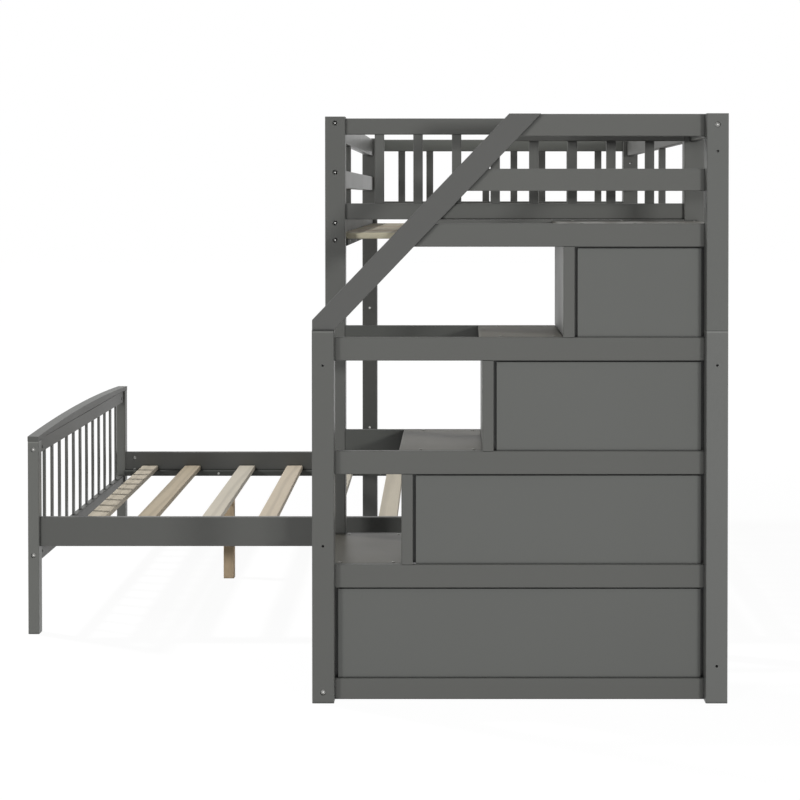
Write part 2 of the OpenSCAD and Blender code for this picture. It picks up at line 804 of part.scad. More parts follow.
module lower_side_rail(y, joints) {
  difference() {
    bar_x([bed_x0 + bed_post_x, y, bed_rail_z], [total_w - 2 * bed_post_x, bed_rail_t, bed_rail_h]);
    rooms(joints);
    nut_rooms(joints, bed_rail_t);
  }
}

module lower_side_rails() {
  color(paint) {
    lower_side_rail(bed_rail_y0, near_rail_joints);
    lower_side_rail(bed_rail_y1, far_rail_joints);
  }
}

module lower_slat_ledgers() {
  x0 = bed_x0 + bed_post_x;
  color(paint) for (y = [bed_rail_y0 + bed_rail_t, bed_rail_y1 - ledger_t])
    bar_x([x0, y, lower_slat_z - ledger_h], [total_w - 2 * bed_post_x, ledger_t, ledger_h]);
}

function lower_slat_x(i) = bed_x0 + first_slat + (i + slat_creep[i]) * lower_pitch;

module lower_bed_slats() {
  y0 = bed_rail_y0 + bed_rail_t + slat_gap;
  length = bed_rail_y1 - slat_gap - y0;
  color(pine) for (i = [0:lower_slats - 1])
    translate([lower_slat_x(i) + slat_w / 2, y0 + length / 2, lower_slat_z])
      rotate([0, 0, slat_skew]) bar_y([-slat_w / 2, -length / 2, 0], [slat_w, length, slat_t]);
}

module centre_legs() {
  y = bed_mid_y + leg_shift - leg / 2;
  color(pine) for (i = leg_slats)
    bar_z([lower_slat_x(i) + (slat_w - leg) / 2, y, 0], [leg, leg, lower_slat_z]);
}

// Hardware

module frame_bolts() {
  color(zinc) for (j = all_joints) bolt(j[0], j[1], j[2]);
}

module barrel_nuts() {
  color(zinc) for (j = all_joints) nut(j[0], j[1], j[2]);
}

loft_post_near_left();
loft_post_near_right();
loft_post_far_left();
loft_post_far_right();
near_end_top_rail();
near_end_bottom_rail();
near_end_slats();
far_end_top_rail();
far_end_bottom_rail();
far_end_slats();
left_side_rail();
right_side_rail();
left_top_guard();
right_top_guard();
left_mid_guard();
right_mid_guard();
side_guard_pickets();
upper_slat_ledgers();
upper_bed_slats();
stair_post_front();
stair_post_back();
stair_post_back_upper();
post_dowels();
outer_base_rail();
outer_tread_rails();
outer_deck_rail();
outer_mid_guard();
outer_top_guard();
outer_handrail();
outer_stiles();
outer_panels();
inner_tread_rails();
inner_deck_rail();
inner_top_guard();
inner_handrail();
side_top_guard();
side_base_rail();
stair_tread_1();
stair_tread_2();
stair_tread_3();
stair_tread_4();
stair_risers();
tread_cleats();
lower_foot_posts();
lower_head_posts();
foot_top_board();
end_arches();
foot_cap();
foot_bottom_rail();
foot_slats();
head_top_board();
head_cap();
head_bottom_rail();
head_slats();
lower_side_rails();
lower_slat_ledgers();
lower_bed_slats();
centre_legs();
frame_bolts();
barrel_nuts();
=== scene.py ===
# %% [markdown]
# A stair bunk in Blender, step by step
#
# The object is a painted timber bunk: a twin loft bed, a closed stair across its near
# end, and a wider platform bed that stands crosswise underneath. Its timber was drawn in
# CAD, so every board already has its real shape and place. What is left for Blender is
# what makes it look real: paint over pine, bare pine slats, zinc bolts, small screws,
# and the light of a studio.
#
# The first cell loads the CAD model. Each board arrives as one object, named after its
# node, with its origin on the floor in the middle of the bed.

# %% Load the bed
import math

import bpy
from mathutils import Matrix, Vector


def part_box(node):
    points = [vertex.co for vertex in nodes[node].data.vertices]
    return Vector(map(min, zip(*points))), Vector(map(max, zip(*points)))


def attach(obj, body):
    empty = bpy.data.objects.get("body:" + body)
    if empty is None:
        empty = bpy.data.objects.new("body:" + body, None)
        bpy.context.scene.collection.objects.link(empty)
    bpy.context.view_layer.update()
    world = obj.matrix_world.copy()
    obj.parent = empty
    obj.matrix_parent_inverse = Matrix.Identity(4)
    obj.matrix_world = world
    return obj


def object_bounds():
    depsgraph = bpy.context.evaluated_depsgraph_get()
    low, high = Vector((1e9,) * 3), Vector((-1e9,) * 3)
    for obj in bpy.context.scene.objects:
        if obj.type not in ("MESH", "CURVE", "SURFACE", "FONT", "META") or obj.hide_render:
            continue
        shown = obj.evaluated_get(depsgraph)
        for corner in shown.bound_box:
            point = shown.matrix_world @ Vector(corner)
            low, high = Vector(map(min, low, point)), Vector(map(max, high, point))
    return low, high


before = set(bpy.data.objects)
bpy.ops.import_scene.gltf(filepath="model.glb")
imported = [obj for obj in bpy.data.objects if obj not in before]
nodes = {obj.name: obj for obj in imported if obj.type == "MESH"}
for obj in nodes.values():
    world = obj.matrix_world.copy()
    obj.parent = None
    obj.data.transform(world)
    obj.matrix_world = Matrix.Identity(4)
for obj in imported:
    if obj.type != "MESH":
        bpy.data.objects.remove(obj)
cad_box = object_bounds()
lowest, highest = ([round(v, 3) for v in corner] for corner in cad_box)
print("boards loaded:", len(nodes))
print("bed reaches from", lowest, "to", highest)

# %% [markdown]
# Operators act on whatever is selected, and the loader leaves the boards selected. So
# each step starts by deselecting everything, or by picking the one piece it works on.

# %% Helpers for selecting
def deselect():
    if bpy.context.object and bpy.context.object.mode != "OBJECT":
        bpy.ops.object.mode_set(mode="OBJECT")
    bpy.ops.object.select_all(action="DESELECT")


def pick(piece):
    deselect()
    piece.select_set(True)
    bpy.context.view_layer.objects.active = piece


deselect()

# %% [markdown]
# A finish is a tree of shader nodes. It could be drawn by hand in the shader editor, but
# written down it can be built again for every colour and direction. These helpers add a
# node at a place in the editor. The last one wires a tree from a list, in which each row
# is a link: the source and its output, then the target and its input. A new link to an
# input takes the place of the old one.

# %% Helpers for shader nodes
def add(tree, kind, place, **settings):
    node = tree.nodes.new(kind)
    node.location = place
    for key, value in settings.items():
        setattr(node, key, value)
    return node


def add_math(tree, operation, place, value=None):
    node = add(tree, "ShaderNodeMath", place, operation=operation)
    if value is not None:
        node.inputs[1].default_value = value
    return node


def add_noise(tree, place, scale=5.0, detail=2.0):
    node = add(tree, "ShaderNodeTexNoise", place)
    node.inputs["Scale"].default_value = scale
    node.inputs["Detail"].default_value = detail
    return node


def add_range(tree, place, source=(0.0, 1.0), result=(0.0, 1.0)):
    node = add(tree, "ShaderNodeMapRange", place)
    for key, value in zip(("From Min", "From Max", "To Min", "To Max"), (*source, *result)):
        node.inputs[key].default_value = value
    return node


def add_ramp(tree, place, stops, interpolation="LINEAR"):
    node = add(tree, "ShaderNodeValToRGB", place)
    node.color_ramp.interpolation = interpolation
    elements = node.color_ramp.elements
    for element, (position, colour) in zip(elements, (stops[0], stops[-1])):
        element.position = position
        element.color = colour
    for position, colour in stops[1:-1]:
        elements.new(position).color = colour
    return node


def wire(tree, *links):
    for source, output, target, entry in links:
        tree.links.new(source.outputs[output], target.inputs[entry])


print("node helpers: add, add_math, add_noise, add_range, add_ramp, wire")

# %% [markdown]
# A pattern that several finishes share is a node group, built once and placed in each
# material with its own values. A new material starts with only its output and a
# Principled shader.

# %% Helpers for materials and groups
def new_material(name):
    material = bpy.data.materials.new(name)
    material.use_nodes = True
    shader = material.node_tree.nodes["Principled BSDF"]
    return material, material.node_tree, shader


def new_group(name, inputs, outputs):
    group = bpy.data.node_groups.new(name, "ShaderNodeTree")
    for title, kind, value in inputs:
        socket = group.interface.new_socket(title, in_out="INPUT", socket_type=kind)
        socket.default_value = value
    for title, kind in outputs:
        group.interface.new_socket(title, in_out="OUTPUT", socket_type=kind)
    entry = add(group, "NodeGroupInput", (-900, 0))
    leave = add(group, "NodeGroupOutput", (900, 0))
    print("group made:", group.name)
    return group, entry, leave


def place_group(tree, group, place, **values):
    node = add(tree, "ShaderNodeGroup", place, node_tree=group)
    for key, value in values.items():
        node.inputs[key].default_value = value
    return node


print("material helpers: new_material, new_group, place_group")

# %% [markdown]
# Timber grain runs along a board, so the texture is stretched along it. Photographed
# timber would have to be fitted to each board, while a pattern in space fits them all:
# they share one set of coordinates, in metres from the middle of the bed, and a stretch
# vector says which way each board runs. A wave texture draws the rings and bends them,
# and a fine noise adds fibres.

# %% Shared group: timber grain
GRAIN_INPUTS = [
    ("Stretch", "NodeSocketVector", (1.0, 1.0, 1.0)),
    ("Turn", "NodeSocketVector", (0.0, 0.0, 0.0)),
    ("Rings", "NodeSocketFloat", 40.0),
    ("Bend", "NodeSocketFloat", 3.0),
]
GRAIN_OUTPUTS = [("Rings", "NodeSocketFloat"), ("Fibres", "NodeSocketFloat")]
RING_DETAIL = 3.0
RING_DETAIL_SCALE = 1.5
FIBRE_SCALE = 260.0
FIBRE_DETAIL = 4.0

grain_group, grain_in, grain_out = new_group("timber grain", GRAIN_INPUTS, GRAIN_OUTPUTS)
coords = add(grain_group, "ShaderNodeTexCoord", (-900, 300))
turned = add(grain_group, "ShaderNodeVectorRotate", (-700, 300), rotation_type="EULER_XYZ")
stretched = add(grain_group, "ShaderNodeVectorMath", (-500, 300), operation="MULTIPLY")
rings = add(grain_group, "ShaderNodeTexWave", (-200, 300), wave_type="RINGS")
rings.rings_direction = "SPHERICAL"
rings.inputs["Detail"].default_value = RING_DETAIL
rings.inputs["Detail Scale"].default_value = RING_DETAIL_SCALE
fibres = add_noise(grain_group, (-200, -100), FIBRE_SCALE, FIBRE_DETAIL)
wire(
    grain_group,
    (coords, "Object", turned, "Vector"),
    (grain_in, "Turn", turned, "Rotation"),
    (turned, "Vector", stretched, 0),
    (grain_in, "Stretch", stretched, 1),
    (stretched, "Vector", rings, "Vector"),
    (grain_in, "Rings", rings, "Scale"),
    (grain_in, "Bend", rings, "Distortion"),
    (stretched, "Vector", fibres, "Vector"),
    (rings, "Fac", grain_out, "Rings"),
    (fibres, "Fac", grain_out, "Fibres"),
)

# %% [markdown]
# A sprayed satin coat isn't one flat grey. It is a touch lighter and darker in soft
# clouds, it has a very fine orange peel, and the timber's grain telegraphs through it as
# shallow lines. The second group turns the grain and two noises into a colour, a
# roughness and a height.

# %% Shared group: sprayed coat
COAT_INPUTS = [
    ("Colour", "NodeSocketColor", (0.13, 0.13, 0.12, 1.0)),
    ("Clouds", "NodeSocketFloat", 0.08),
    ("Roughness", "NodeSocketFloat", 0.5),
    ("Fibres", "NodeSocketFloat", 0.5),
    ("Relief", "NodeSocketFloat", 0.5),
]
COAT_OUTPUTS = [
    ("Colour", "NodeSocketColor"),
    ("Roughness", "NodeSocketFloat"),
    ("Height", "NodeSocketFloat"),
]
CLOUD_SCALE = 4.0
CLOUD_DETAIL = 5.0
CLOUD_MIDDLE = 0.5
CLOUD_ROUGHNESS = 0.12
PEEL_SCALE = 420.0
PEEL_HEIGHT = 0.25

coat_group, coat_in, coat_out = new_group("sprayed coat", COAT_INPUTS, COAT_OUTPUTS)
coords = add(coat_group, "ShaderNodeTexCoord", (-900, 400))
clouds = add_noise(coat_group, (-600, 400), CLOUD_SCALE, CLOUD_DETAIL)
peel = add_noise(coat_group, (-600, 100), PEEL_SCALE)
centred = add_math(coat_group, "SUBTRACT", (-350, 400), CLOUD_MIDDLE)
shade = add_math(coat_group, "MULTIPLY", (-150, 400))
level = add_math(coat_group, "ADD", (50, 400), 1.0)
tinted = add(coat_group, "ShaderNodeVectorMath", (300, 400), operation="SCALE")
rougher = add_math(coat_group, "MULTIPLY_ADD", (300, 100), CLOUD_ROUGHNESS)
relief = add_math(coat_group, "MULTIPLY", (0, -200))
height = add_math(coat_group, "MULTIPLY_ADD", (300, -200), PEEL_HEIGHT)
wire(
    coat_group,
    (coords, "Object", clouds, "Vector"),
    (coords, "Object", peel, "Vector"),
    (clouds, "Fac", centred, 0),
    (centred, "Value", shade, 0),
    (coat_in, "Clouds", shade, 1),
    (shade, "Value", level, 0),
    (coat_in, "Colour", tinted, 0),
    (level, "Value", tinted, "Scale"),
    (tinted, "Vector", coat_out, "Colour"),
    (clouds, "Fac", rougher, 0),
    (coat_in, "Roughness", rougher, 2),
    (rougher, "Value", coat_out, "Roughness"),
    (coat_in, "Fibres", relief, 0),
    (coat_in, "Relief", relief, 1),
    (peel, "Fac", height, 0),
    (relief, "Value", height, 2),
    (height, "Value", coat_out, "Height"),
)

# %% [markdown]
# Where two boards meet, their eased edges leave a fine groove. Little light gets in, so
# these joints are the darkest lines on the bed. That shade is painted into the colour. It
# could be painted in by hand, but an occlusion measure finds the grooves on every board at
# once: it is low in grooves and corners, and one on an open face, and it darkens the colour.

# %% Shared group: joint shade
# Painted shade: how far the occlusion reaches, and how dark it makes joints and corners
JOINT_REACH = 0.010
PAINTED_SHADE_DARKEST = 0.06
JOINT_RANGE = (0.40, 0.80)
OCCLUSION_SAMPLES = 8
SHADE_INPUTS = [
    ("Reach", "NodeSocketFloat", JOINT_REACH),
    ("Darkest", "NodeSocketFloat", PAINTED_SHADE_DARKEST),
]

shade_group, shade_in, shade_out = new_group(
    "painted joint shade", SHADE_INPUTS, [("Light", "NodeSocketFloat")]
)
corner = add(shade_group, "ShaderNodeAmbientOcclusion", (-500, 0), samples=OCCLUSION_SAMPLES)
openness = add_range(shade_group, (0, 0), source=JOINT_RANGE)
wire(
    shade_group,
    (shade_in, "Reach", corner, "Distance"),
    (corner, "AO", openness, "Value"),
    (shade_in, "Darkest", openness, "To Min"),
    (openness, "Result", shade_out, "Light"),
)

# %% [markdown]
# The stair's posts are made of two lengths, one on top of the other, and the lower bed's
# caps lie on its posts. Each joint shows as a fine dark line, the shade in its groove, with
# a paler eased edge just below it that catches the light. Both are painted: the mask takes
# the joint's height and paints the shade line and the highlight round the post. A colour
# ramp holds no more than one, so it stores half of each value and the result is doubled:
# half leaves the paint as it is.

# %% Shared group: seam
SEAM_RANGE = (-0.0080, 0.0020)
SEAM_PLAIN = 0.50
# Painted highlight on the eased edge below the joint, and painted shade in its groove
SEAM_PAINTED_HIGHLIGHT = 0.74
SEAM_PAINTED_SHADE = 0.20
SEAM_PROFILE = [
    (0.18, SEAM_PLAIN),
    (0.34, SEAM_PAINTED_HIGHLIGHT),
    (0.62, SEAM_PAINTED_HIGHLIGHT),
    (0.68, SEAM_PAINTED_SHADE),
    (0.82, SEAM_PAINTED_SHADE),
    (0.88, SEAM_PLAIN),
]

seam_group, seam_in, seam_out = new_group(
    "seam", [("Height", "NodeSocketFloat", 0.0)], [("Light", "NodeSocketFloat")]
)
coords = add(seam_group, "ShaderNodeTexCoord", (-900, 200))
parts = add(seam_group, "ShaderNodeSeparateXYZ", (-700, 200))
above = add_math(seam_group, "SUBTRACT", (-500, 200))
across = add_range(seam_group, (-300, 200), source=SEAM_RANGE)
seam_stops = [(place, (value, value, value, 1.0)) for place, value in SEAM_PROFILE]
profile = add_ramp(seam_group, (-100, 200), seam_stops)
doubled = add_math(seam_group, "MULTIPLY", (300, 200), 1.0 / SEAM_PLAIN)
wire(
    seam_group,
    (coords, "Object", parts, "Vector"),
    (parts, "Z", above, 0),
    (seam_in, "Height", above, 1),
    (above, "Value", across, "Value"),
    (across, "Result", profile, "Fac"),
    (profile, "Color", doubled, 0),
    (doubled, "Value", seam_out, "Light"),
)

# %% [markdown]
# One function builds a painted finish for boards that run a given way. Posts run up,
# rails run across, guards run back, and the handrail runs uphill, so its coordinates are
# turned first. Panels are plain sheet with no grain under the paint.

# %% A painted finish
PAINT = (0.096, 0.0975, 0.0915, 1.0)
SATIN = 0.36
ALONG = {
    "x": (0.06, 1.0, 1.0),
    "y": (1.0, 0.06, 1.0),
    "z": (1.0, 1.0, 0.06),
    "sheet": (1.0, 1.0, 1.0),
}
PAINT_RELIEF = 0.35
PAINT_BUMP_STRENGTH = 0.5
PAINT_BUMP_HEIGHT = 0.0004


def painted(
    name, along, colour=PAINT, turn=(0.0, 0.0, 0.0), roughness=SATIN, seam=None, reach=JOINT_REACH
):
    material, tree, shader = new_material(name)
    relief = 0.0 if along == "sheet" else PAINT_RELIEF
    grain = place_group(tree, grain_group, (-900, 0), Stretch=ALONG[along], Turn=turn)
    coat = place_group(
        tree, coat_group, (-600, 0), Colour=colour, Roughness=roughness, Relief=relief
    )
    # painted shade: the occlusion darkens the coat's colour in joints and corners
    joint = place_group(tree, shade_group, (-600, 300), Reach=reach)
    shaded = add(tree, "ShaderNodeVectorMath", (-300, 200), operation="SCALE")
    bump = add(tree, "ShaderNodeBump", (-300, -250))
    bump.inputs["Strength"].default_value = PAINT_BUMP_STRENGTH
    bump.inputs["Distance"].default_value = PAINT_BUMP_HEIGHT
    wire(
        tree,
        (grain, "Fibres", coat, "Fibres"),
        (coat, "Colour", shaded, 0),
        (joint, "Light", shaded, "Scale"),
        (shaded, "Vector", shader, "Base Color"),
        (coat, "Roughness", shader, "Roughness"),
        (coat, "Height", bump, "Height"),
        (bump, "Normal", shader, "Normal"),
    )
    if seam is not None:
        line = place_group(tree, seam_group, (-600, 500), Height=seam)
        lit = add_math(tree, "MULTIPLY", (-450, 400))
        wire(
            tree,
            (joint, "Light", lit, 0),
            (line, "Light", lit, 1),
            (lit, "Value", shaded, "Scale"),
        )
    return material


print("a plain board's paint is", PAINT[:3], "with roughness", SATIN)

# %% [markdown]
# No two boards took the spray quite alike, and no two catch the light alike. The panels,
# the right post and the lower bed's posts are lighter than the rails. The far end's top
# rail is painted lighter as well, as painted light for the light it lacks. The handrail and
# the ledgers are a shade darker. The rails behind the stair get a darker copy of the paint,
# as painted shade for the shadow they stand in, and their painted shade in the corners
# reaches wider; the risers' reaches a little wider too. The steps are duller and a little
# warmer, and the upper two are painted paler, as painted light from above. The guards that
# run back are the glossiest, and the ledgers inside the beds the dullest.

# %% Paint on every board
HANDRAIL_PAINT = (0.085, 0.0855, 0.082, 1.0)
# Painted shade: the rails behind the stair stand in shadow, so their paint is darker
INNER_SHADED_PAINT = (0.062, 0.064, 0.059, 1.0)
# Painted light: the far end's top rail is lighter to make up for the light it lacks
FAR_END_LIT_PAINT = (0.130, 0.135, 0.124, 1.0)
PANEL_PAINT = (0.106, 0.109, 0.103, 1.0)
RIGHT_POST_PAINT = (0.121, 0.1235, 0.118, 1.0)
UPPER_POST_PAINT = (0.104, 0.1065, 0.101, 1.0)
BED_POST_PAINT = (0.145, 0.148, 0.138, 1.0)
LEDGER_PAINT = (0.080, 0.084, 0.078, 1.0)
TREAD_PAINT = (0.090, 0.086, 0.073, 1.0)
# Painted light: the upper steps are paler for the light that falls on them from above
HIGH_TREAD_LIT_PAINT = (0.118, 0.112, 0.095, 1.0)
HANDRAIL_TURN = (0.0, math.radians(46.3), 0.0)
# Painted shade in the corners reaches further on the inner rails and on the risers
INNER_REACH = 0.040
RISER_REACH = 0.020
STAIR_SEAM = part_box("stair_post_front")[1].z
CAP_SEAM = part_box("lower_foot_posts")[1].z

paint_across = painted("grey paint on boards running across", "x")
paint_inner_shaded = painted(
    "grey paint with painted shade on rails behind the stair", "x", colour=INNER_SHADED_PAINT, reach=INNER_REACH
)
paint_far_end_lit = painted("grey paint with painted light on the far end's top rail", "x", colour=FAR_END_LIT_PAINT)
paint_back = painted("grey paint on boards running back", "y", roughness=0.27)
paint_riser = painted("grey paint on risers", "y", roughness=0.40, reach=RISER_REACH)
paint_side_rail = painted("grey paint on the loft's side rails", "y", roughness=0.46)
paint_bed_end = painted("grey paint on the lower bed ends", "y", roughness=0.44)
paint_ledger = painted("grey paint on ledgers", "y", colour=LEDGER_PAINT, roughness=0.65)
paint_up = painted("grey paint on boards standing up", "z")
paint_bed_post = painted(
    "grey paint on the lower bed posts", "z", colour=BED_POST_PAINT, seam=CAP_SEAM
)
paint_left_post = painted("grey paint on the left stair post", "z", seam=STAIR_SEAM)
paint_right_post = painted(
    "grey paint on the right stair post", "z", colour=RIGHT_POST_PAINT, seam=STAIR_SEAM
)
paint_upper_post = painted(
    "grey paint on the upper stair post", "z", colour=UPPER_POST_PAINT, seam=STAIR_SEAM
)
paint_slope = painted(
    "grey paint on the handrail", "x", colour=HANDRAIL_PAINT, turn=HANDRAIL_TURN
)
paint_sheet = painted("grey paint on sheet panels", "sheet", colour=PANEL_PAINT)
paint_tread = painted("grey paint on the steps", "y", colour=TREAD_PAINT)
paint_high_tread_lit = painted("grey paint with painted light on the upper steps", "y", colour=HIGH_TREAD_LIT_PAINT)
print("joints in the posts at", round(STAIR_SEAM, 3), "and", round(CAP_SEAM, 3))

# %% [markdown]
# The upper slats' front faces lie in the shade of the slat in front of them, so they are
# darker than their tops, apart from the first slat's, which nothing shades. That shade is
# painted into the colour. Those faces could be given a second material by hand. Here the
# shader finds them: a face's normal says whether it looks forward, and its place whether
# it lies beyond the first slat.

# %% Painted shade on the slats' front faces
SHADED_FACING = (-0.4, -0.8)
# Painted shade: the share of the tops' brightness that the shaded front faces keep
FRONT_FACE_SHADE = 0.4


def shaded_front_faces(tree, parts, beyond):
    side = add(tree, "ShaderNodeNewGeometry", (-1300, -500))
    facing = add(tree, "ShaderNodeSeparateXYZ", (-1100, -500))
    front = add_range(tree, (-900, -500), source=SHADED_FACING)
    shadowed = add_math(tree, "GREATER_THAN", (-900, -700), beyond)
    cut = add_math(tree, "MULTIPLY", (-700, -600))
    front_shade = add_range(tree, (-500, -600), result=(1.0, FRONT_FACE_SHADE))
    wire(
        tree,
        (side, "Normal", facing, "Vector"),
        (facing, "Y", front, "Value"),
        (parts, "Y", shadowed, 0),
        (front, "Result", cut, 0),
        (shadowed, "Value", cut, 1),
        (cut, "Value", front_shade, "Value"),
    )
    return front_shade


print("sawn edges keep", FRONT_FACE_SHADE, "of the tops' brightness")

# %% [markdown]
# Bare pine differs from board to board: one slat is honey, the next nearly white. The
# slats of a bed are one object, so they can't each have a material. The tint is picked
# by place instead: a colour ramp along the row gives each slat its own base colour, and
# the rings and fibres darken it.

# %% Bare pine
PINE_RINGS = 9.0
PINE_BEND = 4.0
PINE_ROUGHNESS = 0.62
PINE_SPECULAR = 0.3
PINE_BUMP_STRENGTH = 0.4
PINE_BUMP_HEIGHT = 0.0005
PINE_PAINTED_SHADE_DARKEST = 0.45
RING_RANGE = (0.55, 1.0)
RING_DARK = 0.86
FIBRE_DARK = 0.93


def bare_pine(name, along, tints, row_axis, row_start, row_pitch, shade_fronts_beyond=None):
    material, tree, shader = new_material(name)
    row_end = row_start + row_pitch * len(tints)
    stops = [(i / len(tints), (*tint, 1.0)) for i, tint in enumerate(tints)]
    coords = add(tree, "ShaderNodeTexCoord", (-1500, 300))
    parts = add(tree, "ShaderNodeSeparateXYZ", (-1300, 300))
    share = add_range(tree, (-1100, 300), source=(row_start, row_end))
    ramp = add_ramp(tree, (-900, 300), stops, interpolation="CONSTANT")
    grain = place_group(
        tree, grain_group, (-900, 0), Stretch=ALONG[along], Rings=PINE_RINGS, Bend=PINE_BEND
    )
    dark_rings = add_range(tree, (-600, 100), source=RING_RANGE, result=(1.0, RING_DARK))
    dark_fibres = add_range(tree, (-600, -150), result=(FIBRE_DARK, 2.0 - FIBRE_DARK))
    # painted shade: the occlusion darkens the slats' colour in their corners
    joint = place_group(tree, shade_group, (-600, -400), Darkest=PINE_PAINTED_SHADE_DARKEST)
    both = add_math(tree, "MULTIPLY", (-400, 0))
    shaded = add_math(tree, "MULTIPLY", (-300, -100))
    tinted = add(tree, "ShaderNodeVectorMath", (-200, 200), operation="SCALE")
    bump = add(tree, "ShaderNodeBump", (-200, -250))
    bump.inputs["Strength"].default_value = PINE_BUMP_STRENGTH
    bump.inputs["Distance"].default_value = PINE_BUMP_HEIGHT
    shader.inputs["Roughness"].default_value = PINE_ROUGHNESS
    shader.inputs["Specular IOR Level"].default_value = PINE_SPECULAR
    wire(
        tree,
        (coords, "Object", parts, "Vector"),
        (parts, row_axis, share, "Value"),
        (share, "Result", ramp, "Fac"),
        (ramp, "Color", tinted, 0),
        (grain, "Rings", dark_rings, "Value"),
        (grain, "Fibres", dark_fibres, "Value"),
        (dark_rings, "Result", both, 0),
        (dark_fibres, "Result", both, 1),
        (both, "Value", shaded, 0),
        (joint, "Light", shaded, 1),
        (shaded, "Value", tinted, "Scale"),
        (tinted, "Vector", shader, "Base Color"),
        (grain, "Fibres", bump, "Height"),
        (bump, "Normal", shader, "Normal"),
    )
    # painted shade on the front faces of the slats beyond the first
    if shade_fronts_beyond is not None:
        front_shade = shaded_front_faces(tree, parts, shade_fronts_beyond)
        darker = add_math(tree, "MULTIPLY", (-300, -600))
        wire(
            tree,
            (shaded, "Value", darker, 0),
            (front_shade, "Result", darker, 1),
            (darker, "Value", tinted, "Scale"),
        )
    return material


print("pine's rings and fibres darken it to", RING_DARK, "and", FIBRE_DARK)

# %% [markdown]
# The tints follow the slats in the photograph, from left to right below and from front to
# back above. A row starts a little before its first slat, so that each change of tint
# falls in the gap between two slats. The centre legs are a warmer pine, and the hidden
# dowels share it.

# %% Tints of the slats and legs
PALE = (0.63, 0.58, 0.485)
HONEY = (0.58, 0.48, 0.36)
DULL = (0.59, 0.51, 0.40)
WHITE = (0.66, 0.60, 0.49)
PEACH = (0.66, 0.575, 0.455)
STRAW = (0.63, 0.585, 0.44)
LEG = (0.88, 0.69, 0.47)
AGED = (0.53, 0.475, 0.38)
AMBER = (0.475, 0.405, 0.30)
LOWER_TINTS = [AGED, AMBER, PALE, PEACH, PALE, WHITE, STRAW, PEACH, PALE, HONEY]
UPPER_TINTS = [
    STRAW, PALE, DULL, PEACH, PALE, STRAW, PALE, HONEY, PEACH, PALE, STRAW, PALE, DULL
]
LOWER_LEAD = 0.063
LOWER_PITCH = 0.186
UPPER_LEAD = 0.045
UPPER_PITCH = 0.1511
# the first slat's width: its front face gets no painted shade
FIRST_SLAT_WIDTH = 0.07

lower_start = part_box("lower_bed_slats")[0].x
upper_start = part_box("upper_bed_slats")[0].y
pine_lower = bare_pine(
    "bare pine on the lower slats", "y", LOWER_TINTS, "X", lower_start - LOWER_LEAD, LOWER_PITCH
)
pine_upper = bare_pine(
    "bare pine on the upper slats", "x", UPPER_TINTS, "Y", upper_start - UPPER_LEAD, UPPER_PITCH,
    shade_fronts_beyond=upper_start + FIRST_SLAT_WIDTH,
)
pine_legs = bare_pine("bare pine on the centre legs", "z", [LEG, LEG], "X", -1.0, 1.0)
print("slats tinted:", len(LOWER_TINTS), "below and", len(UPPER_TINTS), "above")

# %% [markdown]
# Bolts and screws are zinc plated, and zinc has a fine spangle: crystals that are a
# little smoother or rougher than the next. They are far too small to model, so a noise
# in the roughness stands for them. It is finer on the screws than on the bolts.

# %% Shared group: zinc spangle
BOLT_SPANGLE = {"Scale": 900.0, "Smooth": 0.22, "Rough": 0.42}
SCREW_SPANGLE = {"Scale": 1500.0, "Smooth": 0.25, "Rough": 0.45}
SPANGLE_INPUTS = [(title, "NodeSocketFloat", value) for title, value in BOLT_SPANGLE.items()]

spangle_group, spangle_in, spangle_out = new_group(
    "zinc spangle", SPANGLE_INPUTS, [("Roughness", "NodeSocketFloat")]
)
coords = add(spangle_group, "ShaderNodeTexCoord", (-900, 300))
crystals = add_noise(spangle_group, (-400, 100))
dull = add_range(spangle_group, (100, 0))
wire(
    spangle_group,
    (coords, "Object", crystals, "Vector"),
    (spangle_in, "Scale", crystals, "Scale"),
    (crystals, "Fac", dull, "Value"),
    (spangle_in, "Smooth", dull, "To Min"),
    (spangle_in, "Rough", dull, "To Max"),
    (dull, "Result", spangle_out, "Roughness"),
)

# %% [markdown]
# A bolt in the loft's posts sits deep in its counterbore, so its rim lies in shade while
# its hexagon socket glints, and it shows as a dark ring round a bright dot. Both are
# painted: the rim gets a painted shade, nearly black, and the socket a painted glint. The
# bolts of the foot post, the lowest stair bolts and the one at the stair's top right corner
# catch more light, so their rims are painted brighter. All bolts are one object, so these
# are picked by place: far to the left, near the floor, or furthest to the right, front and
# top. The socket is found by how little open space is round it.

# %% Zinc on bolts
# Painted shade on the rims, painted light on the rims of the bolts that catch the light, and a
# painted glint in the sockets
RIM_PAINTED_SHADE = (0.012, 0.012, 0.011, 1.0)
RIM_PAINTED_LIGHT = (0.22, 0.22, 0.21, 1.0)
SOCKET_PAINTED_GLINT = (0.92, 0.92, 0.90, 1.0)
SOCKET_REACH = 0.006
SOCKET_RANGE = (0.48, 0.62)
FOOT_POST_X = -0.9
LOW_BOLT_Z = 0.1
CORNER_DIRECTION = (1.0, -1.0, 1.0)
CORNER_REACH = 3.6


